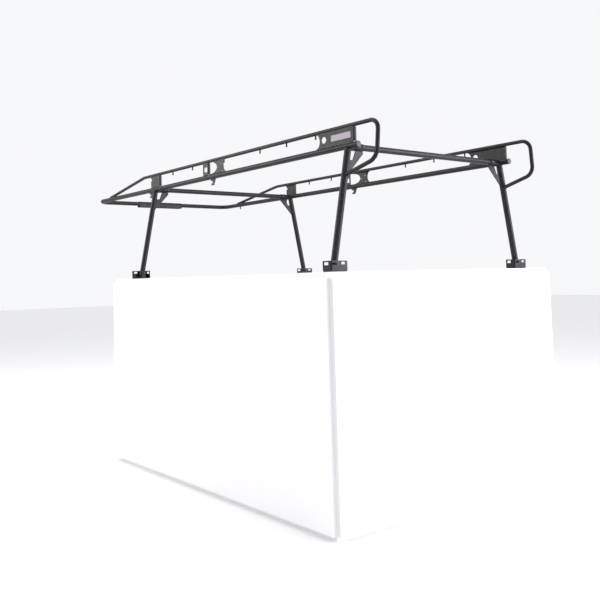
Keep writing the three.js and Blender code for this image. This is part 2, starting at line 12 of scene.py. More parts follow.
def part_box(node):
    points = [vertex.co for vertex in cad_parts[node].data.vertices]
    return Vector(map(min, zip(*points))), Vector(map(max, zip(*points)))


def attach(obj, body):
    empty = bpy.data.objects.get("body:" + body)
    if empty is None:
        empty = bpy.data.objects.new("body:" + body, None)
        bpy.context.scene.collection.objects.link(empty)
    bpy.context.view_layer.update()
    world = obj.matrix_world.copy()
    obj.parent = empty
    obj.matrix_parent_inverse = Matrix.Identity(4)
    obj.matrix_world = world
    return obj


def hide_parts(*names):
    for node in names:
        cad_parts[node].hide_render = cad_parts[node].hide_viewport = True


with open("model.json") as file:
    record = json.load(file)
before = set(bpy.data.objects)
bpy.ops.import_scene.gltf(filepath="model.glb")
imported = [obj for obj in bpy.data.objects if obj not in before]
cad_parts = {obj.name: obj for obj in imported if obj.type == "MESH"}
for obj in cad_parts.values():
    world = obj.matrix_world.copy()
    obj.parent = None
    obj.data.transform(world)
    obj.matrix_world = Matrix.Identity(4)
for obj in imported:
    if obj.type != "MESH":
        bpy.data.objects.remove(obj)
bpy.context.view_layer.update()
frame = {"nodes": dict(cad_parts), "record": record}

# ---------------------------------------------------------------- dimensions, as in the frame

GAP = 0.0003
RAIL_X = 0.720
LOWER_Z = 0.737
UPPER_Z = 0.857
LOWER_R = 0.019
UPPER_R = 0.0127
LOWER_WALL = 0.0025
UPPER_WALL = 0.002
BOW_Y = 1.801
BOW_BEND_R = 0.090
REAR_END_Y = -1.642
LOWER_SEAM_Y = -0.073
UPPER_SEAM_Y = -0.087
LEG_Y = {"front": 0.724, "rear": -1.559}
LEG_R = 0.02065
LEG_WALL = 0.0025
LEG_SPLAY = 0.2068
LEG_TOP_Z = 0.729
LEG_END_Z = 0.015
SLOPE_START_Y = 0.920
SLOPE_END_Y = 1.575
SLOPE = 0.163
SLOPE_BEND_R = 0.240
HOOP_Y = -1.807
HOOP_TOP_R = 0.062
HOOP_LOW_R = 0.075
HOOP_FOOT_Z = 0.565
HOOP_RISE = 0.277
PLATE_T = 0.003
PLATE_OUT = 0.011
FLANGE = 0.019
CROSS_Z = 0.735
CROSS_HALF = 0.650
COLLAR_R = 0.022
COLLAR_IN = 0.606
COLLAR_OUT = 0.664
SPIGOT_IN = 0.560
SPIGOT_WALL = 0.003
GUSSET_T = 0.006
SET_BOLT_X = 0.618
SET_BOLT_R = 0.004
SLEEVE_ENDS = (-0.305, 0.175)
SLEEVE_DROP = 0.704
SLEEVE_T = 0.003
SLEEVE_BOLT_Z = 0.711
SLEEVE_BOLT_X = (-0.230, 0.111)
SLEEVE_BOLT_R = 0.003
BOW_END_GAP = 0.030
# Edges of a foot, from its leg's centre.
FOOT_NEAR = 0.048
FOOT_FAR = 0.077
FOOT_BACK = 0.0285
FOOT_FRONT = 0.0435
FOOT_TOP = 0.064
FOOT_T = 0.004
PAD_T = 0.005
ANCHOR = (0.053, 0.0075)
ANCHOR_R = 0.0055
PIVOT_Z = 0.046
PIVOT_R = 0.005
EAR_HALF = 0.017
EAR_RISE = 0.016
EAR_GAP = 0.001
TURNED_FOOT = ("left", "front")
HOOK_Y = {"front": 0.800, "mid": -0.131}
PEG_Y = {"front": (0.444, 0.150), "rear": (-0.277, -0.708, -0.992, -1.276)}
PEG_R = 0.005
PEG_LENGTH = 0.023
NOSE_PEG_Y = 1.522
SIDES = (("left", -1), ("right", 1))
ENDS = ("front", "rear")

# Finish of the made surfaces.
ROUND = 48  # points round a large tube
SLIM = 40
SMALL = 24
ARC_STEP = math.radians(5)
EASE = 0.0006  # softened edge of a cut tube or plate
BEAD = 0.0015  # radius of a weld bead
RIPPLE = 0.0026  # pitch of the ripples along a bead

# Heads of the bolts: a hexagon, across its flats, on a round flange or washer.
SET_HEAD = {"across": 0.0125, "height": 0.0048, "flange": 0.0072, "thick": 0.0012, "ease": 0.0003}
SLEEVE_HEAD = {"across": 0.0098, "height": 0.0041, "flange": 0.0056, "thick": 0.0008, "ease": 0.0002}
PIVOT_HEAD = {"across": 0.0152, "height": 0.0060, "flange": 0.0132, "thick": 0.0014, "ease": 0.0005}
PIVOT_NUT = {"across": 0.0152, "height": 0.0068, "flange": 0.0088, "thick": 0.0014, "ease": 0.0005}
SHANK_INTO_HEAD = 0.003  # how far a shank runs on inside its head

lowest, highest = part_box("front_cross_member")
ORIGIN = Vector(((lowest.x + highest.x) / 2, (lowest.y + highest.y) / 2 - LEG_Y["front"], 0))


def at(x, y, z):
    """A point of the rack, measured from its own middle plane."""
    return ORIGIN + Vector((x, y, z))


def leg_x(side, z):
    return side * (RAIL_X + (LOWER_Z - z) * LEG_SPLAY)


# ---------------------------------------------------------------- routes and rings

def rounded_route(corners):
    """Stations along straight runs, with each inner corner (point, radius) turned into an arc."""
    stations = [corners[0][0].copy()]
    for (before, _), (here, radius), (after, _) in zip(corners, corners[1:], corners[2:]):
        back = (before - here).normalized()
        ahead = (after - here).normalized()
        turn = math.pi - back.angle(ahead)
        centre = here + (back + ahead).normalized() * radius / math.cos(turn / 2)
        start = here + back * radius * math.tan(turn / 2) - centre
        axis = back.cross(ahead).normalized()
        steps = max(4, math.ceil(turn / ARC_STEP))
        for k in range(steps + 1):
            stations.append(centre + Matrix.Rotation(-turn * k / steps, 3, axis) @ start)
    stations.append(corners[-1][0].copy())
    return stations


def frames(route, cyclic=False):
    """A direction and two square directions at each station, without twist."""
    count = len(route)
    tangents = []
    for i in range(count):
        before = route[i - 1] if cyclic or i else route[0]
        after = route[(i + 1) % count] if cyclic or i < count - 1 else route[-1]
        tangents.append((after - before).normalized())
    up = Vector((0, 0, 1)) if abs(tangents[0].z) < 0.9 else Vector((0, 1, 0))
    normal = (up - tangents[0] * up.dot(tangents[0])).normalized()
    result = []
    for tangent in tangents:
        normal = (normal - tangent * normal.dot(tangent)).normalized()
        result.append((tangent, normal, tangent.cross(normal)))
    return result


def ring(centre, axes, radius, count):
    _, normal, other = axes
    turns = (2 * math.pi * k / count for k in range(count))
    return [centre + (normal * math.cos(a) + other * math.sin(a)) * radius for a in turns]


class Shell:
    """Points and faces gathered into one mesh."""

    def __init__(self):
        self.points = []
        self.faces = []

    def add(self, points, faces):
        first = len(self.points)
        self.points.extend(Vector(p) for p in points)
        self.faces.extend(tuple(first + i for i in face) for face in faces)

    def skin(self, rings, closed):
        """Joins rings of points, either all round or with a flat face over each end."""
        count = len(rings[0])
        points = [p for one in rings for p in one]
        faces = []
        pairs = len(rings) if closed else len(rings) - 1
        for i in range(pairs):
            a = i * count
            b = (i + 1) % len(rings) * count
            for k in range(count):
                n = (k + 1) % count
                faces.append((a + k, a + n, b + n, b + k))
        if not closed:
            faces.append(tuple(reversed(range(count))))
            faces.append(tuple(range(len(points) - count, len(points))))
        self.add(points, faces)


def tube(shell, route, radius, wall, count=ROUND, start_fit=None, end_fit=None):
    """An open-ended tube. A fit moves the points of one end along the tube onto what it meets."""
    axes = frames(route)
    ends = ((0, start_fit, 1), (-1, end_fit, -1))
    skins = []
    for r, ease in ((radius, EASE), (radius - wall, -EASE)):
        rings = [ring(p, a, r, count) for p, a in zip(route, axes)]
        for index, fit, inward in ends:
            along = axes[index][0]
            if fit:
                rings[index] = [fit(p, along) for p in rings[index]]
            else:
                lip = ring(route[index], axes[index], r - ease, count)
                rings[index] = ring(route[index] + along * EASE * inward, axes[index], r, count)
                rings.insert(0 if index == 0 else len(rings), lip)
        skins.append(rings)
    shell.skin(skins[0] + skins[1][::-1], closed=True)
    return skins[0]


def bar(shell, route, radius, count=SMALL, ease=EASE):
    """A solid round bar with softened ends."""
    axes = frames(route)
    rings = [ring(p, a, radius, count) for p, a in zip(route, axes)]
    for index, inward in ((0, 1), (-1, -1)):
        along = axes[index][0]
        lip = ring(route[index], axes[index], radius - ease, count)
        rings[index] = ring(route[index] + along * ease * inward, axes[index], radius, count)
        rings.insert(0 if index == 0 else len(rings), lip)
    shell.skin(rings, closed=False)


def onto_cylinder(point, axis, radius):
    """A fit for a tube that runs into the side of another. What misses it stays where it is."""
    axis = axis.normalized()

    def fit(p, along):
        offset = p - point
        offset = offset - axis * offset.dot(axis)
        heading = along - axis * along.dot(axis)
        square = heading.dot(heading)
        half = offset.dot(heading) / square
        inside = half ** 2 - (offset.dot(offset) - radius ** 2) / square
        if inside <= 0:
            return p
        return p + along * min(0, -half - math.sqrt(inside))

    return fit


def onto_level(z):
    """A fit for a tube that is cut off level."""
    return lambda p, along: p + along * ((z - p.z) / along.z)


# ---------------------------------------------------------------- welds, bolts and studs

def resampled(points, pitch, cyclic):
    """Points a steady distance apart along a line of points."""
    line = list(points) + ([points[0]] if cyclic else [])
    lengths = [0.0]
    for a, b in zip(line, line[1:]):
        lengths.append(lengths[-1] + (b - a).length)
    count = max(4, round(lengths[-1] / pitch))
    wanted = np.linspace(0, lengths[-1], count + 1)
    if cyclic:
        wanted = wanted[:-1]
    columns = [np.interp(wanted, lengths, [p[k] for p in line]) for k in range(3)]
    return [Vector(p) for p in zip(*columns)]


def weld(shell, points, radius=BEAD, cyclic=False):
    """A bead of weld with overlapping ripples."""
    per_ripple = 4
    sides = 8
    route = resampled(points, RIPPLE / per_ripple, cyclic)
    rings = []
    for i, (p, axes) in enumerate(zip(route, frames(route, cyclic))):
        wave = (i % per_ripple) / per_ripple
        swell = radius * (0.86 + 0.2 * math.sin(math.pi * wave))
        if not cyclic:
            from_end = min(i, len(route) - 1 - i)
            swell *= min(1, 0.35 + 0.25 * from_end)
        rings.append(ring(p, axes, swell, sides))
    shell.skin(rings, closed=cyclic)


def hexagon(shell, base, along, across, height, count=36):
    """A hexagon head or nut with chamfered corners. across is the distance over its flats."""
    along = along.normalized()
    axes = frames([base, base + along])[0]
    flat = across / 2
    levels = ((0, 0.93), (0.12, 1.155), (0.78, 1.155), (1, 0.95))
    rings = []
    for share, reach in levels:
        centre = base + along * height * share
        points = []
        for k in range(count):
            turn = 2 * math.pi * k / count
            to_flat = flat / math.cos((turn + math.pi / 6) % (math.pi / 3) - math.pi / 6)
            radius = min(to_flat, flat * reach)
            points.append(centre + (axes[1] * math.cos(turn) + axes[2] * math.sin(turn)) * radius)
        rings.append(points)
    shell.skin(rings, closed=False)


def hex_head(shell, base, along, across, height, flange, thick, ease):
    """A hexagon head or nut on its flange."""
    bar(shell, [base, base + along * thick], flange, ROUND, ease)
    hexagon(shell, base + along * thick, along, across, height)


def stud(shell, side, y, rail_bottom):
    """A welded tie-down stud with a flat head, hanging under a rail."""
    head = 0.003
    x = side * RAIL_X
    end = rail_bottom - PEG_LENGTH
    bar(shell, [at(x, y, rail_bottom + GAP), at(x, y, end + head / 2)], PEG_R)
    bar(shell, [at(x, y, end + head), at(x, y, end)], PEG_R * 1.5)
    level = (None, Vector((1, 0, 0)), Vector((0, 1, 0)))
    around = ring(at(x, y, rail_bottom - GAP), level, PEG_R, SMALL)
    weld(shell, around, BEAD * 0.7, cyclic=True)


# ---------------------------------------------------------------- sheet metal

def rounded_loop(points, radius, steps=6):
    """A closed outline whose corners are rounded."""
    loop = []
    corners = [Vector(p) for p in points]
    for i, here in enumerate(corners):
        back = (corners[i - 1] - here).normalized()
        ahead = (corners[(i + 1) % len(corners)] - here).normalized()
        half = back.angle(ahead) / 2
        reach = radius / math.tan(half)
        centre = here + (back + ahead).normalized() * radius / math.sin(half)
        first = here + back * reach - centre
        last = here + ahead * reach - centre
        sweep = first.angle_signed(last)
        for k in range(steps + 1):
            loop.append(centre + Matrix.Rotation(-sweep * k / steps, 2) @ first)
    return loop


def rectangle(x0, y0, x1, y1):
    return [(x0, y0), (x1, y0), (x1, y1), (x0, y1)]


def circle(x, y, radius, count=32, stretch=0.0):
    """A circle, or a slot where stretch gives half the distance between its centres."""
    loop = []
    for k in range(count):
        turn = 2 * math.pi * (k + 0.5) / count
        shift = math.copysign(stretch, math.cos(turn))
        loop.append(Vector((x + shift + radius * math.cos(turn), y + radius * math.sin(turn))))
    return loop


def sheet_metal(shell, outline, holes, thickness, fold, cuts=(), ease=EASE):
    """A flat pattern with holes, folded by a function of its coordinates, then given thickness."""
    flat = bmesh.new()
    for loop in [outline, *holes]:
        corners = [flat.verts.new((p[0], p[1], 0)) for p in loop]
        for a, b in zip(corners, corners[1:] + corners[:1]):
            flat.edges.new((a, b))
    bmesh.ops.triangle_fill(flat, use_beauty=True, use_dissolve=False, edges=flat.edges[:])
    for u in cuts:
        whole = flat.verts[:] + flat.edges[:] + flat.faces[:]
        across = {"plane_co": (u, 0, 0), "plane_no": (1, 0, 0)}
        bmesh.ops.bisect_plane(flat, geom=whole, dist=1e-7, **across)
    bmesh.ops.recalc_face_normals(flat, faces=flat.faces[:])
    for v in flat.verts:
        v.co = fold(v.co.x, v.co.y)
    mesh = bpy.data.meshes.new("pattern")
    flat.to_mesh(mesh)
    flat.free()
    piece = bpy.data.objects.new("pattern", mesh)
    bpy.context.scene.collection.objects.link(piece)
    thick = piece.modifiers.new("thick", "SOLIDIFY")
    thick.thickness = thickness
    thick.offset = 0
    thick.use_even_offset = True
    soft = piece.modifiers.new("soft", "BEVEL")
    soft.width = ease
    soft.segments = 2
    soft.limit_method = "ANGLE"
    soft.angle_limit = math.radians(40)
    made = piece.evaluated_get(bpy.context.evaluated_depsgraph_get()).to_mesh()
    shell.add([v.co.copy() for v in made.vertices], [tuple(p.vertices) for p in made.polygons])
    bpy.data.objects.remove(piece)
    bpy.data.meshes.remove(mesh)


def slab(shell, outline, holes, thickness, place, ease=EASE):
    """A flat plate; place puts a point of the pattern at the plate's middle."""
    sheet_metal(shell, outline, holes, thickness, place, ease=ease)


# ---------------------------------------------------------------- materials

def material(name, colour, roughness, metallic, build):
    made = bpy.data.materials.new(name)
    made.use_nodes = True
    nodes = made.node_tree.nodes
    links = made.node_tree.links
    shader = nodes["Principled BSDF"]
    shader.inputs["Base Color"].default_value = (*colour, 1)
    shader.inputs["Roughness"].default_value = roughness
    shader.inputs["Metallic"].default_value = metallic
    build(nodes, links, shader)
    return made


def noise(nodes, links, scale, detail=4, rough=0.6, stretch=None):
    """Noise fixed to the object, with scale in cells per metre."""
    place = nodes.new("ShaderNodeTexCoord")
    source = place.outputs["Object"]
    if stretch:
        mapping = nodes.new("ShaderNodeMapping")
        mapping.inputs["Scale"].default_value = stretch
        links.new(source, mapping.inputs["Vector"])
        source = mapping.outputs["Vector"]
    texture = nodes.new("ShaderNodeTexNoise")
    texture.inputs["Scale"].default_value = scale
    texture.inputs["Detail"].default_value = detail
    texture.inputs["Roughness"].default_value = rough
    links.new(source, texture.inputs["Vector"])
    return texture.outputs["Fac"]


def ramp(nodes, links, source, low, high, from_low=0.0, from_high=1.0):
    mapped = nodes.new("ShaderNodeMapRange")
    mapped.inputs["From Min"].default_value = from_low
    mapped.inputs["From Max"].default_value = from_high
    mapped.inputs["To Min"].default_value = low
    mapped.inputs["To Max"].default_value = high
    links.new(source, mapped.inputs["Value"])
    return mapped.outputs["Result"]


COLOUR_A, COLOUR_B, COLOUR_RESULT = 6, 7, 2  # sockets of a Mix node that is set to colours


def blend(nodes, links, factor, first, second):
    """Mixes two colours, each a tuple or another node's output."""
    mixed = nodes.new("ShaderNodeMix")
    mixed.data_type = "RGBA"
    links.new(factor, mixed.inputs["Factor"])
    for socket, value in ((mixed.inputs[COLOUR_A], first), (mixed.inputs[COLOUR_B], second)):
        if isinstance(value, tuple):
            socket.default_value = (*value, 1)
        else:
            links.new(value, socket)
    return mixed.outputs[COLOUR_RESULT]


def bump(nodes, links, shader, *layers):
    """Stacks height layers of (source, strength, distance in metres) under the shader."""
    below = None
    for source, strength, distance in layers:
        layer = nodes.new("ShaderNodeBump")
        layer.inputs["Strength"].default_value = strength
        layer.inputs["Distance"].default_value = distance
        links.new(source, layer.inputs["Height"])
        if below:
            links.new(below, layer.inputs["Normal"])
        below = layer.outputs["Normal"]
    links.new(below, shader.inputs["Normal"])


def edges(nodes, links, low, high):
    """Rises on sharp outer edges."""
    geometry = nodes.new("ShaderNodeNewGeometry")
    return ramp(nodes, links, geometry.outputs["Pointiness"], 0, 1, low, high)


def product(nodes, links, a, b):
    times = nodes.new("ShaderNodeMath")
    times.operation = "MULTIPLY"
    links.new(a, times.inputs[0])
    links.new(b, times.inputs[1])
    return times.outputs["Value"]


def powder_coat(nodes, links, shader):
    """Semi-gloss black powder coat: orange peel, cloudiness, road dust, and thin wear on edges."""
    cloud = noise(nodes, links, 9, 5)
    mottle = ramp(nodes, links, cloud, 0, 1, 0.35, 0.65)
    tone = blend(nodes, links, mottle, (0.006, 0.006, 0.007), (0.011, 0.011, 0.013))
    geometry = nodes.new("ShaderNodeNewGeometry")
    split = nodes.new("ShaderNodeSeparateXYZ")
    links.new(geometry.outputs["Normal"], split.inputs["Vector"])
    upward = ramp(nodes, links, split.outputs["Z"], 0, 1, 0.2, 1.0)
    speckle = ramp(nodes, links, noise(nodes, links, 55, 8, 0.75), 0, 1, 0.45, 0.75)
    dusty = blend(nodes, links, product(nodes, links, upward, speckle), tone, (0.024, 0.023, 0.022))
    rubbed = ramp(nodes, links, noise(nodes, links, 130, 6), 0, 1, 0.5, 0.62)
    worn = product(nodes, links, edges(nodes, links, 0.56, 0.66), rubbed)
    links.new(blend(nodes, links, worn, dusty, (0.05, 0.05, 0.053)), shader.inputs["Base Color"])
    sheen = ramp(nodes, links, noise(nodes, links, 26, 6), 0.30, 0.44, 0.3, 0.7)
    links.new(sheen, shader.inputs["Roughness"])
    shader.inputs["Specular IOR Level"].default_value = 0.18
    shader.inputs["Coat Weight"].default_value = 0.05
    shader.inputs["Coat Roughness"].default_value = 0.22
    peel = (noise(nodes, links, 420, 3), 0.16, 0.0004)
    sag = (noise(nodes, links, 90, 2), 0.08, 0.0008)
    bump(nodes, links, shader, peel, sag)


def plain_paint(nodes, links, shader):
    """Thin black paint on steel that runs inside another piece, rubbed bright in long streaks."""
    drawn = noise(nodes, links, 60, 6, 0.7, stretch=(1, 0.08, 1))
    streak = ramp(nodes, links, drawn, 0, 1, 0.5, 0.7)
    tone = blend(nodes, links, streak, (0.02, 0.02, 0.022), (0.16, 0.16, 0.165))
    links.new(tone, shader.inputs["Base Color"])
    links.new(ramp(nodes, links, streak, 0.5, 0.35), shader.inputs["Roughness"])
    bump(nodes, links, shader, (noise(nodes, links, 500, 3), 0.15, 0.0003))


def zinc(nodes, links, shader):
    """Black zinc plate: mottled tone, turned marks and paler corners."""
    mottle = ramp(nodes, links, noise(nodes, links, 240, 6, 0.7), 0, 1, 0.35, 0.7)
    tone = blend(nodes, links, mottle, (0.010, 0.010, 0.012), (0.026, 0.026, 0.028))
    worn = edges(nodes, links, 0.53, 0.62)
    links.new(blend(nodes, links, worn, tone, (0.06, 0.06, 0.064)), shader.inputs["Base Color"])
    links.new(ramp(nodes, links, mottle, 0.56, 0.40), shader.inputs["Roughness"])
    bump(nodes, links, shader, (noise(nodes, links, 900, 3, stretch=(1, 0.15, 1)), 0.2, 0.0002))


def cap_plastic(nodes, links, shader):
    """Moulded grey-black plastic with a fine spark-eroded grain."""
    cloud = ramp(nodes, links, noise(nodes, links, 70, 5), 0, 1, 0.35, 0.7)
    tone = blend(nodes, links, cloud, (0.045, 0.047, 0.052), (0.075, 0.078, 0.085))
    links.new(tone, shader.inputs["Base Color"])
    links.new(ramp(nodes, links, cloud, 0.42, 0.58), shader.inputs["Roughness"])
    grain = nodes.new("ShaderNodeTexVoronoi")
    grain.inputs["Scale"].default_value = 1600
    place = nodes.new("ShaderNodeTexCoord")
    links.new(place.outputs["Object"], grain.inputs["Vector"])
    bump(nodes, links, shader, (grain.outputs["Distance"], 0.25, 0.00025))


def rubber(nodes, links, shader):
    """Black rubber: matte, finely pitted, with chalky bloom."""
    bloom = ramp(nodes, links, noise(nodes, links, 120, 8, 0.7), 0, 1, 0.45, 0.75)
    tone = blend(nodes, links, bloom, (0.012, 0.012, 0.012), (0.035, 0.034, 0.033))
    links.new(tone, shader.inputs["Base Color"])
    links.new(ramp(nodes, links, bloom, 0.72, 0.92), shader.inputs["Roughness"])
    bump(nodes, links, shader, (noise(nodes, links, 1400, 4), 0.4, 0.0003))


def grey_plate(nodes, links, shader):
    """Satin grey lacquer over brushed plate, brushed along its length."""
    brushed = noise(nodes, links, 700, 6, 0.7, stretch=(1, 0.03, 1))
    streak = ramp(nodes, links, brushed, 0, 1, 0.35, 0.7)
    tone = blend(nodes, links, streak, (0.20, 0.175, 0.205), (0.28, 0.25, 0.285))
    links.new(tone, shader.inputs["Base Color"])
    links.new(ramp(nodes, links, streak, 0.30, 0.44), shader.inputs["Roughness"])
    bump(nodes, links, shader, (brushed, 0.12, 0.0002))


FINISHES = {
    "powder_coat": material("powder_coat", (0.015, 0.015, 0.017), 0.37, 0.0, powder_coat),
    "inner_steel": material("inner_steel", (0.03, 0.03, 0.03), 0.45, 0.6, plain_paint),
    "fastener": material("fastener", (0.02, 0.02, 0.022), 0.5, 0.2, zinc),
    "end_cap": material("end_cap", (0.06, 0.06, 0.065), 0.5, 0.0, cap_plastic),
    "pad_rubber": material("pad_rubber", (0.02, 0.02, 0.02), 0.8, 0.0, rubber),
    "badge": material("badge", (0.24, 0.21, 0.245), 0.36, 0.1, grey_plate),
}
NODE_SLOT = {row["node"]: row["material_slot"] for row in frame["record"]["subparts"]}
BODIES = frame["record"]["behaviour"]["bodies"]
NODE_BODY = {node: body for body, nodes in BODIES.items() for node in nodes}


def finish_piece(node, shell):
    """Makes the gathered mesh stand for a node, with that node's body and finish."""
    mesh = bpy.data.meshes.new(f"{node}_fine")
    mesh.from_pydata(shell.points, [], shell.faces)
    mesh.validate()
    clean = bmesh.new()
    clean.from_mesh(mesh)
    bmesh.ops.remove_doubles(clean, verts=clean.verts[:], dist=1e-6)
    bmesh.ops.dissolve_degenerate(clean, edges=clean.edges[:], dist=1e-6)
    bmesh.ops.recalc_face_normals(clean, faces=clean.faces[:])
    clean.to_mesh(mesh)
    clean.free()
    mesh.shade_smooth()
    mesh.set_sharp_from_angle(angle=math.radians(48))
    piece = bpy.data.objects.new(f"{node}_fine", mesh)
    bpy.context.scene.collection.objects.link(piece)
    piece.modifiers.new("even_shading", "WEIGHTED_NORMAL").keep_sharp = True
    piece.data.materials.append(FINISHES[NODE_SLOT[node]])
    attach(piece, NODE_BODY[node])
    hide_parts(node)


# ---------------------------------------------------------------- rails

def lower_rail_fit(side):
    return onto_cylinder(at(side * RAIL_X, 0, LOWER_Z), Vector((0, 1, 0)), LOWER_R)


def front_rail(side):
    shell = Shell()
    middle = sum(SLEEVE_ENDS) / 2
    route = rounded_route([
        (at(side * RAIL_X, LOWER_SEAM_Y + GAP, LOWER_Z), 0),
        (at(side * RAIL_X, BOW_Y, LOWER_Z), BOW_BEND_R),
        (at(middle + side * BOW_END_GAP / 2, BOW_Y, LOWER_Z), 0),
    ])
    tube(shell, route, LOWER_R, LOWER_WALL)
    stud(shell, side, NOSE_PEG_Y, LOWER_Z - LOWER_R)
    return shell


def rear_rail(side):
    shell = Shell()
    ends = (REAR_END_Y, LOWER_SEAM_Y)
    tube(shell, [at(side * RAIL_X, y, LOWER_Z) for y in ends], LOWER_R, LOWER_WALL)
    return shell


def upper_front_rail(side):
    """The nose lies along the top of the lower rail and ends in a closed, rounded tip."""
    shell = Shell()
    fall = (SLOPE_END_Y - SLOPE_START_Y) * SLOPE
    route = rounded_route([
        (at(side * RAIL_X, UPPER_SEAM_Y + GAP, UPPER_Z), 0),
        (at(side * RAIL_X, SLOPE_START_Y, UPPER_Z), SLOPE_BEND_R),
        (at(side * RAIL_X, SLOPE_END_Y, UPPER_Z - fall), 0),
    ])
    tip = 0.012
    along = (route[-1] - route[-2]).normalized()
    end = route[-1].copy()
    route[-1] = end - along * tip
    axes = frames(route)
    rings = [ring(p, a, UPPER_R, SLIM) for p, a in zip(route, axes)]
    for k in range(1, 7):
        lean = math.radians(15 * k)
        radius = max(UPPER_R * math.cos(lean), UPPER_R * 0.02)
        rings.append(ring(route[-1] + along * tip * math.sin(lean), axes[-1], radius, SLIM))
    shell.skin(rings, closed=False)
    reach = UPPER_R * 0.86
    rise = math.sqrt(LOWER_R ** 2 - reach ** 2)
    meets = SLOPE_START_Y + (UPPER_Z - LOWER_Z - LOWER_R - UPPER_R) / SLOPE
    for x in (side * RAIL_X - reach, side * RAIL_X + reach):
        ends = (meets, SLOPE_END_Y - 0.01)
        weld(shell, [at(x, y, LOWER_Z + rise) for y in ends])
    for y in PEG_Y["front"]:
        stud(shell, side, y, UPPER_Z - UPPER_R)
    return shell


def upper_rear_rail(side):
    shell = Shell()
    foot_y = LEG_Y["rear"] - LEG_R / 2
    corner_z = HOOP_FOOT_Z + (foot_y - HOOP_Y) * HOOP_RISE
    route = rounded_route([
        (at(side * RAIL_X, UPPER_SEAM_Y, UPPER_Z), 0),
        (at(side * RAIL_X, HOOP_Y, UPPER_Z), HOOP_TOP_R),
        (at(leg_x(side, corner_z), HOOP_Y, corner_z), HOOP_LOW_R),
        (at(leg_x(side, HOOP_FOOT_Z), foot_y, HOOP_FOOT_Z), 0),
    ])
    leg_top = at(side * RAIL_X, LEG_Y["rear"], LOWER_Z)
    down = Vector((side * LEG_SPLAY, 0, -1))
    leg_fit = onto_cylinder(leg_top, down, LEG_R)
    rings = tube(shell, route, UPPER_R, UPPER_WALL, SLIM, end_fit=leg_fit)
    weld(shell, rings[-1], cyclic=True)
    for y in PEG_Y["rear"]:
        stud(shell, side, y, UPPER_Z - UPPER_R)
    return shell


def rail_cap(side):
    """A push-in cap: ribbed plug, rim, and a domed face with a shallow ring."""
    plug = LOWER_R - LOWER_WALL - GAP
    profile = [
        (-0.022, plug - 0.002), (-0.020, plug), (-0.012, plug), (-0.011, plug - 0.001),
        (-0.009, plug - 0.001), (-0.008, plug), (GAP, plug), (GAP, LOWER_R - 0.0003),
        (0.0008, LOWER_R), (0.0030, LOWER_R), (0.0046, LOWER_R - 0.0008), (0.0058, LOWER_R - 0.0026),
        (0.0062, 0.0125), (0.0056, 0.0118), (0.0056, 0.0105), (0.0062, 0.0098),
        (0.0068, 0.005), (0.0070, 0.0005),
    ]
    shell = Shell()
    axes = frames([at(0, 0, 0), at(0, -1, 0)])[0]
    x = side * RAIL_X
    rings = [ring(at(x, REAR_END_Y - out, LOWER_Z), axes, r, ROUND) for out, r in profile]
    shell.skin(rings, closed=False)
    return shell


# ---------------------------------------------------------------- side plates

def edge_rise(radius):
    return math.sqrt((radius + GAP) ** 2 - (PLATE_OUT - PLATE_T) ** 2)


PLATE_LOW = LOWER_Z + edge_rise(LOWER_R)
PLATE_HIGH = UPPER_Z - edge_rise(UPPER_R)
BEND = 0.0045  # middle radius of a folded edge


def side_sheet(side):
    """Places a pattern of (y, z) in the plane of the side plates."""
    x = side * (RAIL_X + PLATE_OUT - PLATE_T / 2)
    return lambda y, z: at(x, y, z)


def folded_sheet(side, rear):
    """As side_sheet, but what lies behind the fold turns inboard."""
    x = side * (RAIL_X + PLATE_OUT - PLATE_T / 2)
    rear_mid = rear + PLATE_T / 2

    def fold(y, z):
        past = rear_mid + BEND - y
        if past <= 0:
            return at(x, y, z)
        turn = min(past / BEND, math.pi / 2)
        straight = max(0, past - BEND * math.pi / 2)
        inboard = BEND * (1 - math.cos(turn)) + straight
        return at(x - side * inboard, rear_mid + BEND * (1 - math.sin(turn)), z)

    return fold


def bend_cuts(rear):
    first = rear + PLATE_T / 2 + BEND
    return [first - BEND * math.pi / 2 * k / 8 for k in range(9)]


def rear_edge(rear):
    """The outline of a folded plate's rear edge, upward, in its flat pattern."""
    back = rear + PLATE_T / 2 + BEND - BEND * math.pi / 2 - (FLANGE - PLATE_T / 2 - BEND)
    relief = 0.003  # the flange is this much lower than the plate, at the top and the bottom
    raised = PLATE_LOW + relief
    low = [(rear + 0.008, PLATE_LOW), (rear + 0.006, raised), (back, raised)]
    high = [(y, PLATE_LOW + PLATE_HIGH - z) for y, z in reversed(low)]
    return [Vector(p) for p in low + high]


def folded_plate(shell, side, rear, outline, holes):
    sheet_metal(shell, outline, holes, PLATE_T, folded_sheet(side, rear), bend_cuts(rear))


def stitches(shell, side, rear, front, length=0.028, pitch=0.075):
    """Short welds along the top and bottom edges of a plate, on its outer face."""
    x = side * (RAIL_X + PLATE_OUT - BEAD * 0.6)
    count = max(1, int((front - rear - length) / pitch) + 1)
    spare = (front - rear - length) / max(1, count - 1) if count > 1 else 0
    for k in range(count):
        y = rear + spare * k if count > 1 else (front + rear - length) / 2
        for z in (PLATE_LOW - BEAD / 2, PLATE_HIGH + BEAD / 2):
            weld(shell, [at(x, y, z), at(x, y + length, z)])


def front_plate(side):
    """The notch is cut into its front edge."""
    rear = 0.640
    front = 0.784
    notch = front - 0.014
    notch_high, notch_low = 0.830, 0.811
    shell = Shell()
    edge = [
        (front, PLATE_HIGH), (front, notch_high), (notch, notch_high),
        (notch, notch_low), (front, notch_low), (front, PLATE_LOW),
    ]
    outline = rounded_loop(rear_edge(rear) + edge, 0.001, 3)
    folded_plate(shell, side, rear, outline, [circle(rear + 0.022, 0.829, 0.005)])
    stitches(shell, side, rear + 0.012, front - 0.006)
    return shell


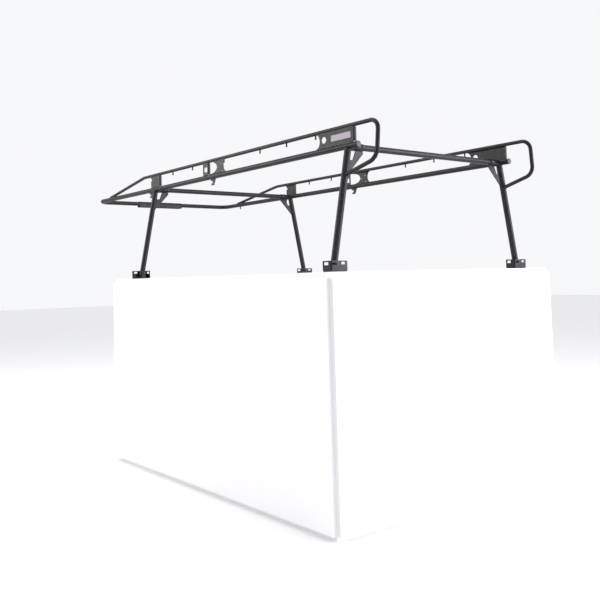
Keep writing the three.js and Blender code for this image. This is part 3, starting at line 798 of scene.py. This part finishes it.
def splice_front_plate(side):
    rear = -0.084
    front = -0.012
    shell = Shell()
    outline = rounded_loop(rear_edge(rear) + [(front, PLATE_HIGH), (front, PLATE_LOW)], 0.001, 3)
    window = rounded_loop(rectangle(-0.070, 0.778, -0.030, 0.814), 0.004)
    folded_plate(shell, side, rear, outline, [window])
    stitches(shell, side, rear + 0.012, front - 0.006)
    return shell


def hollow_edge(y, depth, toward, steps=28):
    """Points from the bottom to the top of a plate edge that is scooped out by half an ellipse."""
    middle = (PLATE_LOW + PLATE_HIGH) / 2
    half = (PLATE_HIGH - PLATE_LOW) / 2 - 0.003
    points = [Vector((y, PLATE_LOW))]
    for k in range(steps + 1):
        turn = -math.pi / 2 + math.pi * k / steps
        points.append(Vector((y + toward * depth * math.cos(turn), middle + half * math.sin(turn))))
    points.append(Vector((y, PLATE_HIGH)))
    return points


def splice_rear_plate(side):
    rear = -0.309
    front = -0.112
    shell = Shell()
    front_scoop = 0.085
    rear_scoop = 0.027
    outline = hollow_edge(front, front_scoop, -1) + hollow_edge(rear, rear_scoop, 1)[::-1]
    places = ((-0.209, 0.793), (-0.254, 0.817), (-0.259, 0.764))
    holes = [circle(y, z, 0.004, SMALL) for y, z in places]
    slab(shell, outline, holes, PLATE_T, side_sheet(side))
    stitches(shell, side, -0.288, -0.190)
    return shell


def rear_plate(side):
    rear = -1.622
    front = -1.292
    shell = Shell()
    scoop = 0.031
    outline = hollow_edge(front, scoop, -1) + rear_edge(rear)[::-1]
    hole = circle(-1.361, 0.8025, 0.020, 40)
    folded_plate(shell, side, rear, outline, [hole])
    stitches(shell, side, rear + 0.012, front - 0.040)
    return shell


def badge(side):
    """A blank plate with a raised rim."""
    shell = Shell()
    thickness = 0.0011
    lip = 0.0004
    rim = 0.003
    x = side * (RAIL_X + PLATE_OUT + GAP)
    plate_x = x + side * thickness / 2
    lip_x = x + side * (thickness + lip / 2)
    y0, z0, y1, z1 = -1.595, 0.782, -1.426, 0.819
    whole = rounded_loop(rectangle(y0, z0, y1, z1), 0.004)
    opening = rounded_loop(rectangle(y0 + rim, z0 + rim, y1 - rim, z1 - rim), 0.002)
    slab(shell, whole, [], thickness, lambda y, z: at(plate_x, y, z), ease=0.0002)
    slab(shell, whole, [opening], lip, lambda y, z: at(lip_x, y, z), ease=0.0001)
    return shell


def tie_hook(side, y):
    """A flat tie-down hook welded under the lower rail."""
    shell = Shell()
    top = LOWER_Z - LOWER_R
    points = [
        (y - 0.029, top), (y - 0.029, top - 0.006), (y - 0.008, top - 0.045), (y + 0.022, top - 0.045),
        (y + 0.022, top - 0.030), (y + 0.006, top - 0.030), (y + 0.006, top - 0.016),
        (y + 0.029, top - 0.010), (y + 0.029, top),
    ]
    outline = rounded_loop(points, 0.0022, 4)
    slab(shell, outline, [], 0.006, lambda u, v: at(side * RAIL_X, u, v), ease=0.001)
    for way in (-1, 1):
        x = side * RAIL_X + way * 0.0034
        weld(shell, [at(x, y - 0.026, top + 0.0002), at(x, y + 0.026, top + 0.0002)])
    return shell


# ---------------------------------------------------------------- legs and cross members

def leg(side, end):
    """The shaft is coped round the lower rail."""
    shell = Shell()
    low, high = (at(leg_x(side, z), LEG_Y[end], z) for z in (LEG_END_Z, LEG_TOP_Z))
    fits = (onto_level(LEG_END_Z), lower_rail_fit(side))
    rings = tube(shell, [low, high], LEG_R, LEG_WALL, ROUND, *fits)
    weld(shell, rings[-1], cyclic=True)
    return shell


def cross_bracket(side, end):
    """Collar and stub for the cross member, with a gusset down to the leg."""
    shell = Shell()
    y = LEG_Y[end]
    collar = [at(side * x, y, CROSS_Z) for x in (COLLAR_IN, COLLAR_OUT)]
    tube(shell, collar, COLLAR_R, COLLAR_R - LOWER_R - GAP)
    stub = [at(side * x, y, CROSS_Z) for x in (COLLAR_OUT - 0.004, RAIL_X)]
    rings = tube(shell, stub, LOWER_R, LOWER_WALL, end_fit=lower_rail_fit(side))
    weld(shell, rings[-1], cyclic=True)
    lengthwise = (None, Vector((0, 1, 0)), Vector((0, 0, 1)))
    seam = ring(at(side * COLLAR_OUT, y, CROSS_Z), lengthwise, LOWER_R + 0.001, ROUND)
    weld(shell, seam, cyclic=True)
    spigot = [at(side * x, y, CROSS_Z) for x in (SPIGOT_IN, COLLAR_OUT)]
    tube(shell, spigot, LOWER_R - LOWER_WALL - GAP, SPIGOT_WALL)
    gusset(shell, side, end)
    return shell


def beside_leg(z):
    """Distance from the middle plane to the inner side of a leg."""
    return abs(leg_x(1, z)) - LEG_R * math.hypot(1, LEG_SPLAY)


def gusset(shell, side, end):
    """A plate from the collar down to the leg, open between the stub, the leg and its own edge."""
    y = LEG_Y[end]
    top = CROSS_Z - COLLAR_R + 0.0004
    under_stub = CROSS_Z - LOWER_R + 0.0004
    high, low, end_z = 0.710, 0.656, 0.566
    corners = [
        (0.604, 0.697), (0.604, top), (COLLAR_OUT, top), (COLLAR_OUT, under_stub),
        (beside_leg(under_stub), under_stub), (beside_leg(high), high), (0.664, high),
        (0.688, low), (beside_leg(low), low), (beside_leg(end_z), end_z),
    ]
    outline = rounded_loop(corners, 0.0012, 4)
    slab(shell, outline, [], GUSSET_T, lambda u, v: at(side * u, y, v), ease=0.0008)
    down_leg = (low - 0.004, end_z + 0.006)
    under_collar = (COLLAR_IN + 0.002, COLLAR_OUT - 0.002)
    for face in (y - GUSSET_T / 2, y + GUSSET_T / 2):
        weld(shell, [at(side * (beside_leg(z) + 0.0004), face, z) for z in down_leg])
        weld(shell, [at(side * x, face, top + 0.0006) for x in under_collar])


def set_bolt(side, end):
    shell = Shell()
    rearward = Vector((0, -1, 0))
    seat = at(side * SET_BOLT_X, LEG_Y[end] - COLLAR_R - GAP, CROSS_Z)
    tip = at(side * SET_BOLT_X, LEG_Y[end] - LOWER_R - GAP, CROSS_Z)
    bar(shell, [seat + rearward * SHANK_INTO_HEAD, tip], SET_BOLT_R)
    hex_head(shell, seat, rearward, **SET_HEAD)
    return shell


def cross_member(end):
    shell = Shell()
    route = [at(way * CROSS_HALF, LEG_Y[end], CROSS_Z) for way in (-1, 1)]
    tube(shell, route, LOWER_R, LOWER_WALL)
    return shell


# ---------------------------------------------------------------- front bow joint

def bow_sleeve():
    """A saddle folded over both halves of the bow, with bolts through its skirts below the tube."""
    shell = Shell()
    middle = LOWER_R + GAP + SLEEVE_T / 2
    arc = math.pi * middle
    skirt = LOWER_Z - SLEEVE_DROP
    half = arc / 2 + skirt

    def fold(u, v):
        past = abs(u) - arc / 2
        way = math.copysign(1, u)
        if past > 0:
            return at(v, BOW_Y + way * middle, LOWER_Z - past)
        turn = u / middle
        return at(v, BOW_Y + middle * math.sin(turn), LOWER_Z + middle * math.cos(turn))

    outline = rounded_loop(rectangle(-half, SLEEVE_ENDS[0], half, SLEEVE_ENDS[1]), 0.006)
    lift = SLEEVE_BOLT_Z - SLEEVE_DROP
    places = [(way * (half - lift), x) for way in (-1, 1) for x in SLEEVE_BOLT_X]
    holes = [circle(u, v, SLEEVE_BOLT_R + GAP, SMALL) for u, v in places]
    cuts = [arc / 2 * k / 10 for k in range(-10, 11)]
    sheet_metal(shell, outline, holes, SLEEVE_T, fold, cuts)
    return shell


def bow_bolt(x):
    shell = Shell()
    forward = Vector((0, 1, 0))
    seat = LOWER_R + SLEEVE_T + 2 * GAP
    rear = at(x, BOW_Y - seat, SLEEVE_BOLT_Z)
    front = at(x, BOW_Y + seat, SLEEVE_BOLT_Z)
    flush = SLEEVE_HEAD["thick"] + SLEEVE_HEAD["height"]
    bar(shell, [rear - forward * SHANK_INTO_HEAD, front + forward * flush], SLEEVE_BOLT_R)
    hex_head(shell, rear, -forward, **SLEEVE_HEAD)
    hex_head(shell, front, forward, **SLEEVE_HEAD)
    return shell


# ---------------------------------------------------------------- feet

def stand(name, side, end):
    """Places a point that is measured from a leg's centre. One foot is turned half round."""
    way = -1 if (name, end) == TURNED_FOOT else 1
    return lambda x, y, z: at(leg_x(side, PIVOT_Z) + way * x, LEG_Y[end] + way * y, z)


def foot(name, side, end):
    """A strip folded round the corner as two wings, welded to a base plate with a front ear."""
    shell = Shell()
    place = stand(name, side, end)
    floor = PAD_T + GAP
    wings(shell, place, floor)
    inset = 0.0012
    edge = (inset - FOOT_NEAR, inset - FOOT_BACK, FOOT_FAR, FOOT_FRONT)
    level = floor + FOOT_T / 2
    base = rounded_loop(rectangle(*edge), 0.003)
    anchor = circle(*ANCHOR, ANCHOR_R)
    slab(shell, base, [anchor], FOOT_T, lambda u, v: place(u, v, level), ease=0.0008)
    ear_y = LEG_R + EAR_GAP + FOOT_T / 2
    ear_edge = (-EAR_HALF, floor + 0.001, EAR_HALF, PIVOT_Z + EAR_RISE)
    ear = rounded_loop(rectangle(*ear_edge), 0.006)
    hole = circle(0, PIVOT_Z, PIVOT_R + GAP, SMALL)
    slab(shell, ear, [hole], FOOT_T, lambda u, v: place(u, ear_y, v), ease=0.0008)
    seam = floor + FOOT_T + 0.0004
    inner = FOOT_T + 0.0003
    sideways = (0.012 - FOOT_NEAR, FOOT_FAR - 0.006)
    forward = (0.012 - FOOT_BACK, FOOT_FRONT - 0.006)
    weld(shell, [place(x, inner - FOOT_BACK, seam) for x in sideways])
    weld(shell, [place(inner - FOOT_NEAR, y, seam) for y in forward])
    return shell


def wings(shell, place, floor):
    """The strip. u runs from the side wing's front end, round the corner, to the long wing's end."""
    inset = FOOT_T / 2
    bend = 0.006
    arc = bend * math.pi / 2
    west = inset - FOOT_NEAR
    south = inset - FOOT_BACK

    def fold(u, v):
        if u >= arc / 2:
            return place(west + bend + u - arc / 2, south, v)
        if u <= -arc / 2:
            return place(west, south + bend - u - arc / 2, v)
        turn = (arc / 2 - u) / bend
        x = west + bend - bend * math.sin(turn)
        return place(x, south + bend - bend * math.cos(turn), v)

    def along(x):
        return x - west - bend + arc / 2

    def ahead(y):
        return south + bend - arc / 2 - y

    outline = rounded_loop(rectangle(ahead(FOOT_FRONT), floor, along(FOOT_FAR), FOOT_TOP), 0.004)
    window = rounded_loop(rectangle(along(0.031), 0.042, along(0.061), 0.057), 0.003)
    bolt_slot = circle(along(-0.014), PIVOT_Z, 0.0055, 40, stretch=0.0215)
    side_window = rounded_loop(rectangle(ahead(0.034), 0.039, ahead(-0.004), 0.056), 0.003)
    cuts = [arc / 2 * k / 6 for k in range(-6, 7)]
    sheet_metal(shell, outline, [window, bolt_slot, side_window], FOOT_T, fold, cuts, ease=0.0008)


def foot_pad(name, side, end):
    """A rubber pad with a groove round its edge."""
    shell = Shell()
    place = stand(name, side, end)
    for low, high, inset in ((0, 0.0016, 0.0), (0.0016, 0.0032, 0.0007), (0.0032, PAD_T, 0.0)):
        edges_at = (inset - FOOT_NEAR, inset - FOOT_BACK, FOOT_FAR - inset, FOOT_FRONT - inset)
        outline = rounded_loop(rectangle(*edges_at), 0.005)
        middle = (low + high) / 2
        layer = functools.partial(place, z=middle)
        slab(shell, outline, [circle(*ANCHOR, ANCHOR_R)], high - low, layer, ease=0.0003)
    return shell


def pivot_bolt(name, side, end):
    """Flanged head outside the long wing, flanged nut outside the ear."""
    shell = Shell()
    place = stand(name, side, end)
    back = place(0, -FOOT_BACK - GAP, PIVOT_Z)
    front = place(0, LEG_R + EAR_GAP + FOOT_T + GAP, PIVOT_Z)
    forward = (front - back).normalized()
    past_nut = 0.010
    bar(shell, [back - forward * SHANK_INTO_HEAD, front + forward * past_nut], PIVOT_R, ease=0.001)
    hex_head(shell, back, -forward, **PIVOT_HEAD)
    hex_head(shell, front, forward, **PIVOT_NUT)
    return shell


# ---------------------------------------------------------------- every piece

SIDE_PIECES = {
    "front_rail": front_rail,
    "rear_rail": rear_rail,
    "upper_front_rail": upper_front_rail,
    "upper_rear_rail": upper_rear_rail,
    "rail_cap": rail_cap,
    "front_plate": front_plate,
    "splice_front_plate": splice_front_plate,
    "splice_rear_plate": splice_rear_plate,
    "rear_plate": rear_plate,
    "badge": badge,
}
LEG_PIECES = {"leg": leg, "cross_bracket": cross_bracket, "set_bolt": set_bolt}
FOOT_PIECES = {"foot": foot, "foot_pad": foot_pad, "pivot_bolt": pivot_bolt}

for name, side in SIDES:
    for piece, make in SIDE_PIECES.items():
        finish_piece(f"{name}_{piece}", make(side))
    for which, y in HOOK_Y.items():
        finish_piece(f"{name}_{which}_tie_hook", tie_hook(side, y))
    for end in ENDS:
        for piece, make in LEG_PIECES.items():
            finish_piece(f"{name}_{end}_{piece}", make(side, end))
        for piece, make in FOOT_PIECES.items():
            finish_piece(f"{name}_{end}_{piece}", make(name, side, end))
    for level in ("lower", "upper"):
        node = frame["nodes"][f"{name}_{level}_spigot"]
        node.data.materials.clear()
        node.data.materials.append(FINISHES["inner_steel"])
for end in ENDS:
    finish_piece(f"{end}_cross_member", cross_member(end))
finish_piece("bow_sleeve", bow_sleeve())
for (name, _), x in zip(SIDES, SLEEVE_BOLT_X):
    finish_piece(f"bow_sleeve_bolt_{name}", bow_bolt(x))

# ---------------------------------------------------------------- studio

RAIL_HEIGHT = 1.448  # height of the bed rails above the ground
FLOOR_HALF = 40
FLOOR_THICK = 0.1
PLINTH_HALF = 1.05  # half the width of the block that stands in for the truck's bed
PLINTH_REAR, PLINTH_FRONT = -1.72, 0.90
PLINTH_TOP = -0.0005


def stage_block(name, low, high, ease, colour):
    """A plain pale block of the studio."""
    mesh = bpy.data.meshes.new(name)
    made = bmesh.new()
    bmesh.ops.create_cube(made, size=1)
    for v in made.verts:
        v.co = Vector(low[k] + (v.co[k] + 0.5) * (high[k] - low[k]) for k in range(3))
    if ease:
        bmesh.ops.bevel(made, geom=made.edges[:], offset=ease, segments=4, affect="EDGES")
    made.to_mesh(mesh)
    made.free()
    mesh.shade_smooth()
    mesh.set_sharp_from_angle(angle=math.radians(30))
    block = bpy.data.objects.new(name, mesh)
    bpy.context.scene.collection.objects.link(block)

    def matte(nodes, links, shader):
        cloud = ramp(nodes, links, noise(nodes, links, 3, 3), 0.97, 1.0)
        tinted = blend(nodes, links, cloud, tuple(c * 0.96 for c in colour), colour)
        links.new(tinted, shader.inputs["Base Color"])

    mesh.materials.append(material(name, colour, 0.65, 0, matte))


def area_light(name, position, target, size, power, colour):
    data = bpy.data.lights.new(name, "AREA")
    data.shape = "RECTANGLE"
    data.size, data.size_y = size
    data.energy = power
    data.color = colour
    lamp = bpy.data.objects.new(name, data)
    lamp.location = position
    lamp.rotation_euler = (Vector(target) - Vector(position)).to_track_quat("-Z", "Y").to_euler()
    bpy.context.scene.collection.objects.link(lamp)


floor_low = (-FLOOR_HALF, -FLOOR_HALF, -RAIL_HEIGHT - FLOOR_THICK)
stage_block("floor", floor_low, (FLOOR_HALF, FLOOR_HALF, -RAIL_HEIGHT), 0, (0.86, 0.86, 0.87))
plinth_low = (-PLINTH_HALF, PLINTH_REAR, -RAIL_HEIGHT)
plinth_high = (PLINTH_HALF, PLINTH_FRONT, PLINTH_TOP)
stage_block("plinth", plinth_low, plinth_high, 0.03, (0.80, 0.80, 0.81))

world = bpy.data.worlds.new("studio")
bpy.context.scene.world = world
world.use_nodes = True
world.node_tree.nodes["Background"].inputs["Color"].default_value = (0.98, 0.985, 1.0, 1)
world.node_tree.nodes["Background"].inputs["Strength"].default_value = 0.95
area_light("left_front_box", (-5.5, 5.0, 2.6), (0, 0, 0.6), (4.0, 4.0), 270, (1.0, 0.99, 0.98))
area_light("right_rear_box", (4.2, -6.6, 1.4), (0, 0, 0.5), (4.5, 5.0), 560, (0.93, 0.93, 1.0))
area_light("overhead", (0.0, 0.5, 5.5), (0, 0, 0.7), (3.0, 5.0), 160, (1.0, 1.0, 1.0))
bpy.context.scene.view_settings.view_transform = "Standard"

# ---------------------------------------------------------------- camera

CAMERA_AT = (-3.849, -4.7836, -0.0348)  # in the rack's own coordinates
HEADING, PITCH, ROLL = (math.radians(v) for v in (-35.67, 3.12, -1.47))
LENS = 45.756  # millimetres, with the usual sensor
SHIFT_X, SHIFT_Y = 0.1035, -0.1018
camera_data = bpy.data.cameras.new("camera")
camera_data.sensor_width = 36
camera_data.lens = LENS
camera_data.shift_x = SHIFT_X
camera_data.shift_y = SHIFT_Y
camera_data.clip_end = 200
camera = bpy.data.objects.new("camera", camera_data)
bpy.context.scene.collection.objects.link(camera)
right = Vector((math.cos(HEADING), math.sin(HEADING), 0))
level_ahead = Vector((-math.sin(HEADING), math.cos(HEADING), 0))
ahead = level_ahead * math.cos(PITCH) + Vector((0, 0, math.sin(PITCH)))
above = right.cross(ahead)
rolled_right = right * math.cos(ROLL) + above * math.sin(ROLL)
rolled_above = above * math.cos(ROLL) - right * math.sin(ROLL)
turned = Matrix((rolled_right, rolled_above, -ahead)).transposed()
camera.matrix_world = Matrix.Translation(at(*CAMERA_AT)) @ turned.to_4x4()
bpy.context.scene.camera = camera
